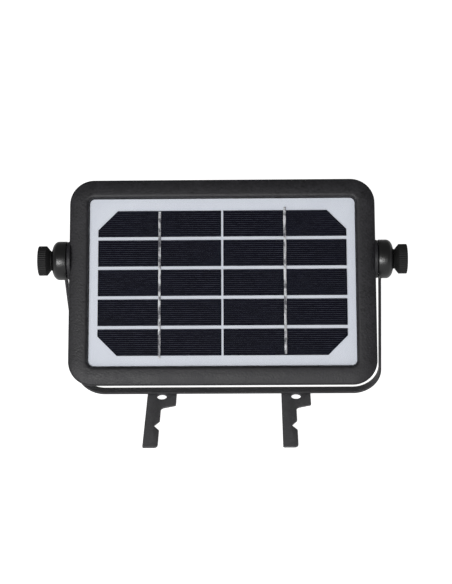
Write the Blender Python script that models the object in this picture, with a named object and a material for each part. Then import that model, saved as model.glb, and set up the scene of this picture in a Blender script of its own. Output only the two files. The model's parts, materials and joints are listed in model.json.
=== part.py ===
"""Solar flood light on a U-shaped strap bracket, modelled as separate solids.

Metres, +Z up, +X to the right as seen from the solar side, which faces -Y.
The lamp head is modelled flat, in its own frame, and carried by an empty on the
tilt axis: there X is along the knobs, Y runs up the solar face and Z points out
of it.  The LED side faces -Z of that frame.  Dimensions below are millimetres.
"""
import bpy
import bmesh
from math import acos, cos, pi, radians, sin
from mathutils import Matrix, Vector

MM = 0.001
GAP = 0.3                      # clearance between neighbouring solids

# Stand
AXIS_HEIGHT = 102.5            # tilt axis above the floor
STAND_Y = 8.35                 # plane of the bracket, front to back
SOLAR_ELEVATION = 39.0         # degrees that the solar face looks up
STRAP_WIDTH = 6.3
STRAP_THICK = 1.5
STRAP_HALF = 100.65            # middle of each arm from the bracket's own middle
STRAP_CORNER = 17.4
BASE_SHIFT = 2.9               # the springy arms lean, so the base stands off the head's middle
EYE_RADIUS = 9.0
PLATE_THICK = 1.2
PLATE_HEAD = 19.6
PLATE_NECK = 9.8
PLATE_FRONT = -62.0            # from the bracket's plane
PLATE_INNER = 35.1             # from the middle of the base to the plates' inner edges
PLATE_HOLE = 3.25
PLATE_HOLE_Y = -5.4

# Lamp head
HEAD_HALF_W = 97.0
HEAD_HALF_H = 65.8
HEAD_CORNER = 15.5
HEAD_Y = -15.05                # middle of the case, from the tilt axis
WALL = 2.2
RIM_HALF_W = 96.5              # case outline at the parting line, after the draft
RIM_HALF_H = 62.9
BOSS_R = 12.2                  # round boss on each side of the case
BOSS = (96.3, 98.4)
CREST = 9.6                    # highest ring of the solar bezel
EDGE_R = 1.6                   # round along the ring's outer edge
CROWN_R = 26.9                 # shallow crown from that edge up to the crest
CROWN_TURN = 18.0
BEZEL_RIM = -12.6
SHELL_RIM = -13.8
REAR = -25.0
PANEL_Y = -15.0                # middle of the recess for the solar panel
RECESS_HALF_W = 84.7
RECESS_HALF_H = 53.95
RECESS_CORNER = 3.7
RECESS_FLOOR = 4.6
SLAB_UNDER = 2.8

# Solar panel
CELL_W = 78.0
CELL_H = 16.82
CELL_PITCH = 18.97
COLUMN_GAP = 1.4
CELL_BEVEL = 12.3
CELL_BLOCK_Y = -15.7
CELL_ROWS = 5
CELL_UNDER = 6.6
CELL_TOP = 6.85
RIBBON_W = 1.5

# LED side
LENS_Y = -9.0
LENS_HALF_W = 77.7
LENS_HALF_H = 44.7
LENS_CORNER = 8.7
LED_BOARD_HALF = (67.0, 29.0)
LED_COLUMNS = 8
LED_ROWS = 4
CASE_SCREWS = [(side * 85.0, HEAD_Y + step * 49.5) for side in (-1, 1) for step in (1, 0, -1)]
BUTTON = (75.6, -63.6)
LIGHT_PIPE = (69.2, -58.5)
USB = (60.2, -62.6)
BATTERY_Y = -61.9
BATTERY_Z = -8.2
BATTERY_R = 9.1
BATTERY_LEN = 65.0
BATTERY_ENDS = (-79.5, -13.0)  # left end of each cell

# Knobs and their stack, by distance from the centre plane
INSERT = (85.7, 96.6)
WASHER = (98.7, 99.6)
CUP = (98.85, 108.25)
CUP_R = 12.35
CUP_DOME = (103.9, 6.35)       # where the dome starts, and its radius at the outer end
KNOB_BASE = 108.55
KNOB_NECK = 109.3
KNOB_HEAD = 112.0
KNOB_END = 117.4
KNOB_R = 9.45
STUD_R = 3.0
STUD = (86.5, 112.8)
FLUTES = 18


def clear_scene():
    for obj in list(bpy.data.objects):
        bpy.data.objects.remove(obj, do_unlink=True)


def material(name, colour, roughness=0.5, metallic=0.0, alpha=1.0):
    mat = bpy.data.materials.new(name)
    mat.use_nodes = True
    shader = mat.node_tree.nodes["Principled BSDF"]
    shader.inputs["Base Color"].default_value = (*colour, 1.0)
    shader.inputs["Roughness"].default_value = roughness
    shader.inputs["Metallic"].default_value = metallic
    shader.inputs["Alpha"].default_value = alpha
    return mat


def empty(name, location, rotation=(0.0, 0.0, 0.0), parent=None):
    obj = bpy.data.objects.new(name, None)
    obj.location = [value * MM for value in location]
    obj.rotation_euler = rotation
    obj.parent = parent
    bpy.context.collection.objects.link(obj)
    return obj


def solid(name, bm, mat, parent=None, location=(0.0, 0.0, 0.0), smooth=None):
    """Turn a bmesh drawn in millimetres into an object in metres."""
    bmesh.ops.recalc_face_normals(bm, faces=bm.faces)
    bmesh.ops.scale(bm, vec=(MM, MM, MM), verts=bm.verts)
    mesh = bpy.data.meshes.new(name)
    bm.to_mesh(mesh)
    bm.free()
    if smooth is not None:
        mesh.shade_smooth()
        mesh.set_sharp_from_angle(angle=radians(smooth))
    if mat is not None:
        mesh.materials.append(mat)
    return place(name, mesh, parent, location)


def place(name, mesh, parent=None, location=(0.0, 0.0, 0.0)):
    obj = bpy.data.objects.new(name, mesh)
    obj.location = [value * MM for value in location]
    obj.parent = parent
    bpy.context.collection.objects.link(obj)
    return obj


def boolean(obj, tool, operation):
    tool.hide_render = True
    tool.display_type = 'WIRE'
    mod = obj.modifiers.new(tool.name, 'BOOLEAN')
    mod.object = tool
    mod.operation = operation
    mod.solver = 'EXACT'


def rounded(half_w, half_h, radius, z, centre_y=HEAD_Y, steps=5):
    """One rounded rectangle, anticlockwise, as a list of points."""
    points = []
    for quarter, (sx, sy) in enumerate(((1, 1), (-1, 1), (-1, -1), (1, -1))):
        for step in range(steps + 1):
            angle = (quarter + step / steps) * pi / 2
            points.append(Vector((sx * (half_w - radius) + radius * cos(angle),
                                  centre_y + sy * (half_h - radius) + radius * sin(angle), z)))
    return points


def loft(loops, closed=False):
    """Join loops of equal length; a closed loft is a ring, an open one is capped."""
    bm = bmesh.new()
    rings = [[bm.verts.new(point) for point in loop] for loop in loops]
    count = len(rings[0])
    pairs = list(zip(rings, rings[1:]))
    if closed:
        pairs.append((rings[-1], rings[0]))
    else:
        bm.faces.new(rings[0])
        bm.faces.new(rings[-1])
    for low, high in pairs:
        for i in range(count):
            j = (i + 1) % count
            bm.faces.new((low[i], low[j], high[j], high[i]))
    return bm


def prism(outline, z_low, z_high):
    low = [Vector((x, y, z_low)) for x, y in outline]
    high = [Vector((x, y, z_high)) for x, y in outline]
    return loft([low, high])


def slab(half_w, half_h, radius, z_low, z_high, centre_y=HEAD_Y):
    return loft([rounded(half_w, half_h, radius, z, centre_y) for z in (z_low, z_high)])


def turned(profile, segments=32, closed=False, scale=None):
    """Revolve (radius, height) points about Z; scale(i, z) varies the radius round the rim."""
    loops = []
    for radius, z in profile:
        loop = []
        for i in range(segments):
            angle = 2 * pi * i / segments
            reach = radius * (scale(i, z) if scale else 1.0)
            loop.append(Vector((reach * cos(angle), reach * sin(angle), z)))
        loops.append(loop)
    return loft(loops, closed)


def drum(bm, centre, radius, z_low, z_high, segments=20, axis='Z'):
    """Add a cylinder to bm, along Z or X of the frame it is drawn in."""
    turn = Matrix.Identity(4) if axis == 'Z' else Matrix.Rotation(pi / 2, 4, 'Y')
    middle = (z_low + z_high) / 2
    shift = (centre[0], centre[1], middle) if axis == 'Z' else (middle, centre[0], centre[1])
    bmesh.ops.create_cone(bm, cap_ends=True, segments=segments, radius1=radius, radius2=radius,
                          depth=z_high - z_low, matrix=Matrix.Translation(shift) @ turn)


def block(bm, low, high):
    size = [b - a for a, b in zip(low, high)]
    middle = [(a + b) / 2 for a, b in zip(low, high)]
    matrix = Matrix.Translation(middle) @ Matrix.Diagonal((*size, 1.0))
    bmesh.ops.create_cube(bm, size=1.0, matrix=matrix)


def arc(centre, radius, start, end, steps):
    """Points on an arc between two angles given in degrees."""
    points = []
    for step in range(steps + 1):
        angle = radians(start + (end - start) * step / steps)
        points.append((centre[0] + radius * cos(angle), centre[1] + radius * sin(angle)))
    return points


def wire(name, route, radius, mat, parent):
    """A round lead through the route's points, as a capped curve."""
    curve = bpy.data.curves.new(name, 'CURVE')
    curve.dimensions = '3D'
    curve.bevel_depth = radius * MM
    curve.bevel_resolution = 2
    curve.use_fill_caps = True
    curve.render_resolution_u = 0
    points = smooth_route(route)
    spline = curve.splines.new('POLY')
    spline.points.add(len(points) - 1)
    for spot, point in zip(spline.points, points):
        spot.co = (*(point * MM), 1.0)
    curve.materials.append(mat)
    place(name, curve, parent)


def smooth_route(route, steps=3):
    """Catmull-Rom points through the route."""
    anchors = [Vector(point) for point in route]
    anchors = [anchors[0] * 2 - anchors[1]] + anchors + [anchors[-1] * 2 - anchors[-2]]
    points = []
    for a, b, c, d in zip(anchors, anchors[1:], anchors[2:], anchors[3:]):
        for step in range(steps):
            t = step / steps
            points.append(0.5 * (2 * b + (c - a) * t + (2 * a - 5 * b + 4 * c - d) * t ** 2
                                 + (3 * b - 3 * c + d - a) * t ** 3))
    points.append(anchors[-2])
    return points


# ---------------------------------------------------------------- stand

def strap_path():
    """Middle line of the right half of the strap, as (x, z, half width, sway) stations."""
    stations = []
    neck = acos(STRAP_WIDTH / 2 / EYE_RADIUS)
    turns = [radians(angle) for angle in range(15, 150, 15)]
    for turn in [t for t in turns if t < pi / 2 + neck] + [pi / 2 + neck]:
        stations.append((STRAP_HALF, AXIS_HEIGHT + EYE_RADIUS * cos(turn), EYE_RADIUS * sin(turn), 0.0))
    half = STRAP_WIDTH / 2
    foot = PLATE_THICK + GAP + STRAP_THICK / 2
    stations.append((STRAP_HALF, AXIS_HEIGHT - 14.0, half, 0.0))
    centre = (STRAP_HALF - STRAP_CORNER, foot + STRAP_CORNER)
    for x, z in arc(centre, STRAP_CORNER, 0.0, -90.0, 8):
        stations.append((x, z, half, BASE_SHIFT))
    return stations


def build_bracket(steel):
    right = strap_path()
    path = [(x + sway, z, half) for x, z, half, sway in right]
    path += [(sway - x, z, half) for x, z, half, sway in reversed(right)]
    loops = []
    for i, (x, z, half) in enumerate(path):
        before = path[max(i - 1, 0)]
        after = path[min(i + 1, len(path) - 1)]
        along = Vector((after[0] - before[0], 0.0, after[1] - before[1])).normalized()
        normal = Vector((along.z, 0.0, -along.x)) * (STRAP_THICK / 2)
        spot = Vector((x, 0.0, z))
        side = Vector((0.0, half, 0.0))
        loops.append([spot + normal + side, spot + normal - side,
                      spot - normal - side, spot - normal + side])
    bracket = solid("bracket", loft(loops), steel, location=(0.0, STAND_Y, 0.0))
    holes = bmesh.new()
    drum(holes, (0.0, AXIS_HEIGHT), 3.4, -110.0, 110.0, 24, 'X')
    boolean(bracket, solid("bracket_holes", holes, None, location=(0.0, STAND_Y, 0.0)), 'DIFFERENCE')


def build_foot_plates(steel):
    rear = STRAP_WIDTH / 2
    outline = [(0.0, rear), (PLATE_HEAD, rear), (PLATE_HEAD, -14.4), (PLATE_HEAD - 0.5, -15.3)]
    outline += arc((PLATE_NECK + 2.6, -20.5), 2.6, 106.0, 180.0, 4)
    outline += [(PLATE_NECK, -33.3)]
    outline += arc((PLATE_NECK - 3.1, -38.6), 0.6, 130.0, 230.0, 3)
    outline += [(PLATE_NECK, -43.8)]
    outline += arc((PLATE_NECK - 2.6, PLATE_FRONT + 2.6), 2.6, 0.0, -90.0, 5)
    outline += arc((1.0, PLATE_FRONT + 1.0), 1.0, -90.0, -180.0, 3)
    for side, x in (("left", BASE_SHIFT - PLATE_INNER - PLATE_HEAD), ("right", BASE_SHIFT + PLATE_INNER)):
        plate = solid(f"foot_plate_{side}", prism(outline, 0.0, PLATE_THICK), steel,
                      location=(x, STAND_Y, 0.0))
        hole = bmesh.new()
        drum(hole, (PLATE_HEAD / 2, PLATE_HOLE_Y), PLATE_HOLE, -1.0, 3.0, 24)
        boolean(plate, solid(f"plate_hole_{side}", hole, None, location=(x, STAND_Y, 0.0)), 'DIFFERENCE')


# ---------------------------------------------------------------- knobs and clamps

def flute(i, z):
    return 0.965 if z > KNOB_HEAD - 0.2 and i % 2 else 1.0


def build_side(side, frame, mats):
    """Everything threaded on one end of the tilt axis; frame's Z points outwards."""
    outward = 1 if side == "right" else -1

    insert = turned([(4.4, INSERT[0]), (4.4, INSERT[1]), (3.3, INSERT[1]), (3.3, INSERT[0])], 20, True)
    solid(f"thread_insert_{side}", insert, mats["brass"], frame, smooth=40)

    washer = turned([(9.0, WASHER[0]), (9.0, WASHER[1]), (3.4, WASHER[1]), (3.4, WASHER[0])], 28, True)
    solid(f"friction_washer_{side}", washer, mats["rubber"], frame, smooth=40)

    cup_in, cup_out = CUP
    dome_start, dome_r = CUP_DOME
    dome = [(CUP_R - (CUP_R - dome_r) * (1 - cos(radians(a))),
             dome_start + (cup_out - dome_start) * sin(radians(a))) for a in (0, 22, 45, 67, 90)]
    ceiling = STRAP_HALF + STRAP_THICK / 2 + GAP
    recess_r = EYE_RADIUS + 2 * GAP
    cup = turned([(recess_r, cup_in), (CUP_R - 0.4, cup_in), (CUP_R, cup_in + 0.4)] + dome
                 + [(5.8, cup_out), (5.8, cup_out - 1.1), (3.4, cup_out - 1.1),
                    (3.4, ceiling), (recess_r, ceiling)], 28, True)
    cup = solid(f"clamp_cup_{side}", cup, mats["plastic"], frame, smooth=35)
    slot = bmesh.new()
    half = STRAP_WIDTH / 2 + 2 * GAP
    block(slot, (7.0 * outward, -half, cup_in - 1.0), (14.0 * outward, half, ceiling))
    bmesh.ops.recalc_face_normals(slot, faces=slot.faces)
    boolean(cup, solid(f"cup_slot_{side}", slot, None, frame), 'DIFFERENCE')

    inner = cup_out - 0.8
    ring = turned([(5.4, inner), (5.4, cup_out - 0.05), (3.4, cup_out - 0.05), (3.4, inner)], 20, True)
    solid(f"knob_washer_{side}", ring, mats["steel"], frame, smooth=40)

    stud = turned([(2.6, STUD[0]), (STUD_R, STUD[0] + 0.4), (STUD_R, STUD[1])], 24)
    solid(f"knob_stud_{side}", stud, mats["steel"], frame, smooth=40)

    knob = turned([(3.3, KNOB_BASE), (6.4, KNOB_BASE), (6.1, KNOB_BASE + 0.4), (6.1, KNOB_NECK),
                   (KNOB_R, KNOB_HEAD), (KNOB_R, KNOB_END - 0.5), (KNOB_R - 0.4, KNOB_END - 0.2),
                   (KNOB_R - 2.5, KNOB_END), (2.0, KNOB_END)], FLUTES * 2, False, flute)
    knob = solid(f"knob_{side}", knob, mats["plastic"], frame, smooth=30)
    bore = bmesh.new()
    drum(bore, (0.0, 0.0), STUD_R + GAP, KNOB_BASE - 1.0, STUD[1] + GAP, 24)
    boolean(knob, solid(f"knob_bore_{side}", bore, None, frame), 'DIFFERENCE')


# ---------------------------------------------------------------- case

def ring_section():
    """Outer edge round and shallow crown of the bezel's ring, as (inset, height) points."""
    crown = radians(CROWN_TURN)
    shoulder = CREST - EDGE_R * cos(crown) - CROWN_R * (1 - cos(crown))
    points = []
    for step in range(4):
        angle = (pi / 2 - crown) * step / 3
        points.append((EDGE_R * (1 - cos(angle)), shoulder + EDGE_R * sin(angle)))
    for step in range(4):
        angle = crown * (3 - step) / 4
        points.append((EDGE_R * (1 - sin(crown)) + CROWN_R * (sin(crown) - sin(angle)),
                       CREST - CROWN_R * (1 - cos(angle))))
    return points


def build_bezel(head, plastic):
    loops = [rounded(86.6, 55.9, 6.0, SLAB_UNDER, PANEL_Y),
             rounded(86.9, 56.2, 6.2, 6.6, PANEL_Y),
             rounded(90.0, 58.6, 9.0, 7.0),
             rounded(93.2, 61.8, 12.0, 5.0),
             rounded(94.9, 63.4, 13.2, 1.5),
             rounded(RIM_HALF_W - WALL, RIM_HALF_H - WALL, HEAD_CORNER - WALL, BEZEL_RIM),
             rounded(RIM_HALF_W, RIM_HALF_H, HEAD_CORNER, BEZEL_RIM)]
    for inset, height in ring_section():
        loops.append(rounded(HEAD_HALF_W - inset, HEAD_HALF_H - inset, HEAD_CORNER - inset * 0.9, height))
    for out, height in ((2.1, CREST), (1.5, CREST - 0.25), (0.5, CREST - 1.0), (0.0, CREST - 1.5)):
        loops.append(rounded(RECESS_HALF_W + out, RECESS_HALF_H + out, RECESS_CORNER + out, height, PANEL_Y))
    loops.append(rounded(RECESS_HALF_W, RECESS_HALF_H, RECESS_CORNER, RECESS_FLOOR, PANEL_Y))
    bezel = solid("solar_bezel", loft(loops), plastic, head, smooth=35)

    posts = bmesh.new()
    for side in (-1, 1):
        drum(posts, (0.0, 0.0), 7.0, *sorted((side * 85.3, side * 96.0)), 24, 'X')
    for x, y in CASE_SCREWS:
        drum(posts, (x, y), 3.4, -18.6, 3.8, 12)
    for x in (-26.0, 26.0):
        for y in (-17.0, 11.0):
            drum(posts, (x, y), 2.2, -0.2, 3.8, 8)
    for x in (-60.0, 60.0):
        for y in (LENS_Y - 22.0, LENS_Y + 22.0):
            drum(posts, (x, y), 2.4, -5.8, 3.8, 8)
    boolean(bezel, solid("bezel_posts", posts, None, head), 'UNION')
    bosses = bmesh.new()
    for side in (-1, 1):
        drum(bosses, (0.0, 0.0), BOSS_R, *sorted((side * BOSS[0], side * BOSS[1])), 40, 'X')
    boolean(bezel, solid("bezel_bosses", bosses, None, head), 'UNION')

    holes = bmesh.new()
    for side in (-1, 1):
        drum(holes, (0.0, 0.0), 4.7, *sorted((side * 85.6, side * 99.0)), 24, 'X')
        drum(holes, (side * 5.0, 6.0), 1.6, 0.0, 6.0, 8)
    for x, y in CASE_SCREWS:
        drum(holes, (x, y), 1.7, -19.0, -6.0, 8)
    boolean(bezel, solid("bezel_holes", holes, None, head), 'DIFFERENCE')


def build_lamp_shell(head, plastic):
    lens_w, lens_h, lens_r = LENS_HALF_W + GAP, LENS_HALF_H + GAP, LENS_CORNER + GAP
    loops = [rounded(RIM_HALF_W - WALL - w, RIM_HALF_H - WALL - h, HEAD_CORNER - WALL - h, z)
             for w, h, z in ((0.0, 0.0, SHELL_RIM), (0.5, 0.8, -16.6), (1.7, 2.2, -19.2),
                             (3.6, 4.0, -21.4), (5.8, 6.0, REAR + WALL))]
    loops += [rounded(lens_w + WALL, lens_h + WALL, lens_r + WALL, REAR + WALL, LENS_Y),
              rounded(lens_w + WALL, lens_h + WALL, lens_r + WALL, -19.2, LENS_Y),
              rounded(lens_w - 4.0, lens_h - 4.0, lens_r - 3.0, -19.2, LENS_Y),
              rounded(lens_w - 4.0, lens_h - 4.0, lens_r - 3.0, -21.2, LENS_Y),
              rounded(lens_w, lens_h, lens_r, -21.2, LENS_Y),
              rounded(lens_w, lens_h, lens_r, REAR, LENS_Y)]
    loops += [rounded(RIM_HALF_W - w, RIM_HALF_H - h, HEAD_CORNER - h, z)
              for w, h, z in ((8.0, 8.0, REAR), (5.8, 6.0, -24.4), (3.6, 4.0, -22.8),
                              (1.7, 2.2, -20.0), (0.5, 0.8, -17.0), (0.0, 0.0, SHELL_RIM))]
    shell = solid("lamp_shell", loft(loops, closed=True), plastic, head, smooth=35)

    posts = bmesh.new()
    for x, y in CASE_SCREWS:
        drum(posts, (x, y), 4.2, -23.6, -18.9, 12)
    for x in (-60.0, -14.0, 32.0):
        block(posts, (x - 1.0, BATTERY_Y - 7.0, -23.6), (x + 1.0, BATTERY_Y + 6.0, -18.9))
    for x in (55.5, 68.6):
        drum(posts, (x, -69.6), 1.6, -23.6, -15.8, 8)
    boolean(shell, solid("shell_posts", posts, None, head), 'UNION')

    holes = bmesh.new()
    for x, y in CASE_SCREWS:
        drum(holes, (x, y), 3.1, -26.0, -22.6, 14)
    drum(holes, BUTTON, 4.3, -26.0, -21.0, 24)
    drum(holes, LIGHT_PIPE, 1.6, -26.0, -21.0, 12)
    block(holes, (USB[0] - 6.5, USB[1] - 4.2, -26.0), (USB[0] + 6.5, USB[1] + 4.2, -23.4))
    boolean(shell, solid("shell_holes", holes, None, head), 'DIFFERENCE')

    narrow = bmesh.new()
    for x, y in CASE_SCREWS:
        drum(narrow, (x, y), 1.8, -23.0, -18.0, 8)
    block(narrow, (USB[0] - 4.8, USB[1] - 1.95, -24.0), (USB[0] + 4.8, USB[1] + 1.95, -22.0))
    boolean(shell, solid("shell_bores", narrow, None, head), 'DIFFERENCE')


def build_seals_and_screws(head, mats):
    high, low = BEZEL_RIM - GAP, SHELL_RIM + GAP
    gasket = loft([rounded(RIM_HALF_W - d, RIM_HALF_H - d, HEAD_CORNER - d, z)
                   for d, z in ((0.5, high), (1.9, high), (1.9, low), (0.5, low))], closed=True)
    solid("shell_gasket", gasket, mats["rubber"], head, smooth=35)
    for number, (x, y) in enumerate(CASE_SCREWS, 1):
        screw = turned([(1.9, -24.7), (2.7, -24.2), (2.7, -22.9), (1.4, -22.9), (1.4, -8.6), (0.5, -7.4)], 12)
        solid(f"case_screw_{number}", screw, mats["steel"], head, (x, y, 0.0), smooth=40)


# ---------------------------------------------------------------- solar panel

def cell_outline(column, row):
    """A half cell; the block's four outer corners are cut off at 45 degrees."""
    half_w, half_h = CELL_W / 2, CELL_H / 2
    corners = []
    for sx, sy in ((1, 1), (-1, 1), (-1, -1), (1, -1)):
        cut = sx == column and sy == {0: 1, CELL_ROWS - 1: -1}.get(row)
        corner = (sx * half_w, sy * half_h)
        if not cut:
            corners.append(corner)
            continue
        ends = [(corner[0], corner[1] - sy * CELL_BEVEL), (corner[0] - sx * CELL_BEVEL, corner[1])]
        corners += ends if sx * sy > 0 else ends[::-1]
    return corners


def build_panel(head, mats):
    sheet = slab(RECESS_HALF_W - 0.4, RECESS_HALF_H - 0.4, 3.3, RECESS_FLOOR + GAP, 6.3, PANEL_Y)
    solid("panel_backsheet", sheet, mats["backsheet"], head)
    cover = slab(RECESS_HALF_W - 0.5, RECESS_HALF_H - 0.5, 3.2, 7.6, 8.0, PANEL_Y)
    solid("panel_cover", cover, mats["clear"], head)
    offset = (COLUMN_GAP + CELL_W) / 2
    top = CELL_BLOCK_Y + CELL_PITCH * (CELL_ROWS - 1) / 2
    for side, column in (("left", -1), ("right", 1)):
        for row in range(CELL_ROWS):
            cell = prism(cell_outline(column, row), CELL_UNDER, CELL_TOP)
            solid(f"cell_{side}_{row + 1}", cell, mats["cell"], head,
                  (column * offset, top - row * CELL_PITCH, 0.0))
    high = top + CELL_H / 2
    low = high - CELL_H - CELL_PITCH * (CELL_ROWS - 1)
    for side, column, ends in (("left", -1, (low - 1.8, high - 0.6)), ("right", 1, (low + 0.8, high + 1.9))):
        ribbon = bmesh.new()
        block(ribbon, (column * offset - RIBBON_W / 2, ends[0], CELL_TOP + GAP),
              (column * offset + RIBBON_W / 2, ends[1], CELL_TOP + GAP + 0.15))
        solid(f"cell_ribbon_{side}", ribbon, mats["tin"], head)


# ---------------------------------------------------------------- light and electronics

def build_light(head, mats):
    lens = slab(LENS_HALF_W, LENS_HALF_H, LENS_CORNER, REAR + 0.2, -22.6, LENS_Y)
    solid("lens", lens, mats["clear"], head)
    seal = loft([rounded(LENS_HALF_W - d, LENS_HALF_H - d, LENS_CORNER - d, z, LENS_Y)
                 for d, z in ((0.2, -21.5), (3.4, -21.5), (3.4, -22.3), (0.2, -22.3))], closed=True)
    solid("lens_gasket", seal, mats["rubber"], head)
    tray = loft([rounded(w, h, r, z, LENS_Y) for w, h, r, z in (
        (75.4, 41.8, 7.0, -18.9), (73.6, 40.0, 6.0, -18.9), (66.0, 28.0, 4.0, -9.2), (64.0, 26.0, 3.0, -9.2),
        (64.0, 26.0, 3.0, -8.0), (67.2, 29.2, 4.0, -8.0), (74.4, 40.8, 6.6, -17.7),
        (75.4, 41.8, 7.0, -17.7))], closed=True)
    solid("reflector", tray, mats["reflector"], head, smooth=30)
    board = slab(*LED_BOARD_HALF, 2.0, -7.7, -6.1, LENS_Y)
    board = solid("led_board", board, mats["white_board"], head)
    chips = bmesh.new()
    for column in range(LED_COLUMNS):
        for row in range(LED_ROWS):
            x = (column - (LED_COLUMNS - 1) / 2) * 15.5
            y = LENS_Y + (row - (LED_ROWS - 1) / 2) * 12.5
            block(chips, (x - 1.75, y - 1.4, -8.4), (x + 1.75, y + 1.4, -7.0))
    boolean(board, solid("led_chips", chips, None, head), 'UNION')


def build_electronics(head, mats):
    board = bmesh.new()
    block(board, (-30.0, -21.0, -2.1), (30.0, 15.0, -0.5))
    board = solid("control_board", board, mats["green_board"], head)
    chips = bmesh.new()
    block(chips, (-24.0, -14.0, -5.0), (-12.0, -2.0, -1.5))
    block(chips, (-4.0, -10.0, -3.6), (6.0, 0.0, -1.5))
    block(chips, (14.0, -16.0, -4.6), (22.0, -8.0, -1.5))
    drum(chips, (16.0, 4.0), 3.2, -5.2, -1.5, 16)
    boolean(board, solid("control_chips", chips, None, head), 'UNION')

    port = bmesh.new()
    block(port, (53.4, -71.6, -15.5), (79.0, -54.4, -13.9))
    solid("port_board", port, mats["green_board"], head)
    switch = turned([(3.0, -15.8), (3.0, -17.2), (1.7, -17.2), (1.7, -18.0)], 16)
    solid("mode_switch", switch, mats["steel"], head, (*BUTTON, 0.0))
    pipe = turned([(1.3, -25.2), (1.3, -22.4), (2.0, -22.4), (2.0, -21.4), (1.3, -21.4), (1.3, -16.3)], 12)
    solid("light_pipe", pipe, mats["clear"], head, (*LIGHT_PIPE, 0.0))
    socket = loft([rounded(w, h, r, z, 0.0) for w, h, r, z in (
        (3.9, 1.2, 1.1, -17.6), (3.9, 1.2, 1.1, -23.1), (4.5, 1.65, 1.5, -23.1), (4.5, 1.65, 1.5, -15.8))])
    solid("usb_socket", socket, mats["steel"], head, (*USB, 0.0), smooth=40)

    holder = loft([[(x, BATTERY_Y + y, z) for x, y in ((x0, -h), (x1, -h), (x1, h), (x0, h))]
                   for x0, x1, h, z in ((-80.0, 52.3, 9.3, -17.6), (-80.0, 52.3, 9.3, -8.0),
                                        (-81.1, 53.1, 10.4, -8.0), (-81.1, 53.1, 10.4, -18.6))])
    solid("battery_holder", holder, mats["plastic"], head)
    for number, x in enumerate(BATTERY_ENDS, 1):
        cell = bmesh.new()
        drum(cell, (BATTERY_Y, BATTERY_Z), BATTERY_R, x, x + BATTERY_LEN, 24, 'X')
        solid(f"battery_{number}", cell, mats["battery"], head, smooth=40)

    for side, x, colour in (("red", 5.0, "red"), ("black", -5.0, "rubber")):
        wire(f"panel_lead_{side}", ((x, 6.0, 4.4), (x, 6.0, 2.4), (x, 6.4, 0.0)), 0.7, mats[colour], head)
        wire(f"battery_lead_{side}",
             ((53.7, -64.0 + x * 0.5, -9.5), (56.5, -61.0 + x * 0.6, -8.0), (56.0, -51.0 + x * 0.6, -3.5),
              (46.0 + x * 0.3, -34.0, -2.0), (36.0, -14.0 + x * 0.3, -1.3), (30.4, -12.0 + x * 0.3, -1.3)),
             0.7, mats[colour], head)
        wire(f"led_lead_{side}",
             ((-30.4, -2.0 + x * 0.3, -1.3), (-38.0, -3.0 + x * 0.3, -1.6), (-47.0, -6.0 + x * 0.3, -2.2),
              (-52.0, -7.0 + x * 0.3, -4.0), (-53.0, -7.2 + x * 0.3, -5.7)),
             0.7, mats[colour], head)
    wire("port_lead",
         ((64.0, -60.0, -13.5), (64.0, -58.0, -10.5), (62.5, -50.0, -5.5), (56.0, -36.0, -2.2),
          (44.0, -12.0, -1.4), (36.0, -4.0, -1.3), (30.4, -3.0, -1.3)), 0.9, mats["rubber"], head)


def build_controls(head, mats):
    button = turned([(3.0, -25.7), (3.7, -25.4), (4.0, -24.9), (4.0, -22.4), (4.7, -22.4), (4.7, -21.6),
                     (1.6, -21.6), (1.6, -18.9)], 24)
    solid("mode_button", button, mats["rubber"], head, (*BUTTON, 0.0), smooth=40)

    thick = 1.2
    profile = ((0.0, 0.0), (0.0 + thick, thick), (7.8, thick), (7.8, 0.0))
    flap = loft([[(x, y, z) for y, z in profile] for x in (-6.1, 6.1)])
    solid("usb_flap", flap, mats["rubber"], head, (USB[0], USB[1] - 3.9, REAR + 0.1))


def build():
    clear_scene()
    mats = {
        "plastic": material("black_plastic", (0.022, 0.022, 0.024), 0.55),
        "steel": material("bright_steel", (0.55, 0.55, 0.56), 0.35, 1.0),
        "strap": material("black_painted_steel", (0.03, 0.03, 0.032), 0.5),
        "brass": material("brass", (0.78, 0.57, 0.25), 0.35, 1.0),
        "rubber": material("black_rubber", (0.015, 0.015, 0.015), 0.8),
        "red": material("red_insulation", (0.6, 0.03, 0.02), 0.5),
        "backsheet": material("white_backsheet", (0.6, 0.64, 0.7), 0.45),
        "cell": material("silicon_cell", (0.004, 0.005, 0.012), 0.3),
        "tin": material("tinned_copper", (0.62, 0.63, 0.65), 0.35, 1.0),
        "clear": material("clear_sheet", (0.9, 0.93, 0.95), 0.1, 0.0, 0.35),
        "reflector": material("white_reflector", (0.85, 0.85, 0.85), 0.25),
        "white_board": material("white_led_board", (0.8, 0.8, 0.78), 0.5),
        "green_board": material("green_board", (0.01, 0.12, 0.05), 0.45),
        "battery": material("battery_sleeve", (0.02, 0.12, 0.35), 0.4),
    }
    build_bracket(mats["strap"])
    build_foot_plates(mats["strap"])
    pivot = (0.0, STAND_Y, AXIS_HEIGHT)
    for side, turn in (("left", -pi / 2), ("right", pi / 2)):
        build_side(side, empty(f"axis_{side}", pivot, (0.0, turn, 0.0)), mats)
    head = empty("head_frame", pivot, (radians(90.0 - SOLAR_ELEVATION), 0.0, 0.0))
    build_bezel(head, mats["plastic"])
    build_lamp_shell(head, mats["plastic"])
    build_seals_and_screws(head, mats)
    build_panel(head, mats)
    build_light(head, mats)
    build_electronics(head, mats)
    build_controls(head, mats)


build()
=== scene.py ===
"""Looks of the solar flood light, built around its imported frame.

Shapes are drawn in millimetres and scaled to metres as they are placed.  Pieces on
the lamp head are drawn in the head's own frame: X along the knobs, Y up the solar
face, Z out of it.  Pieces on the tilt axis are drawn with Z pointing outwards.
"""
import json
from math import acos, cos, pi, radians, sin

import bmesh
import bpy
from mathutils import Matrix, Vector, noise


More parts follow.
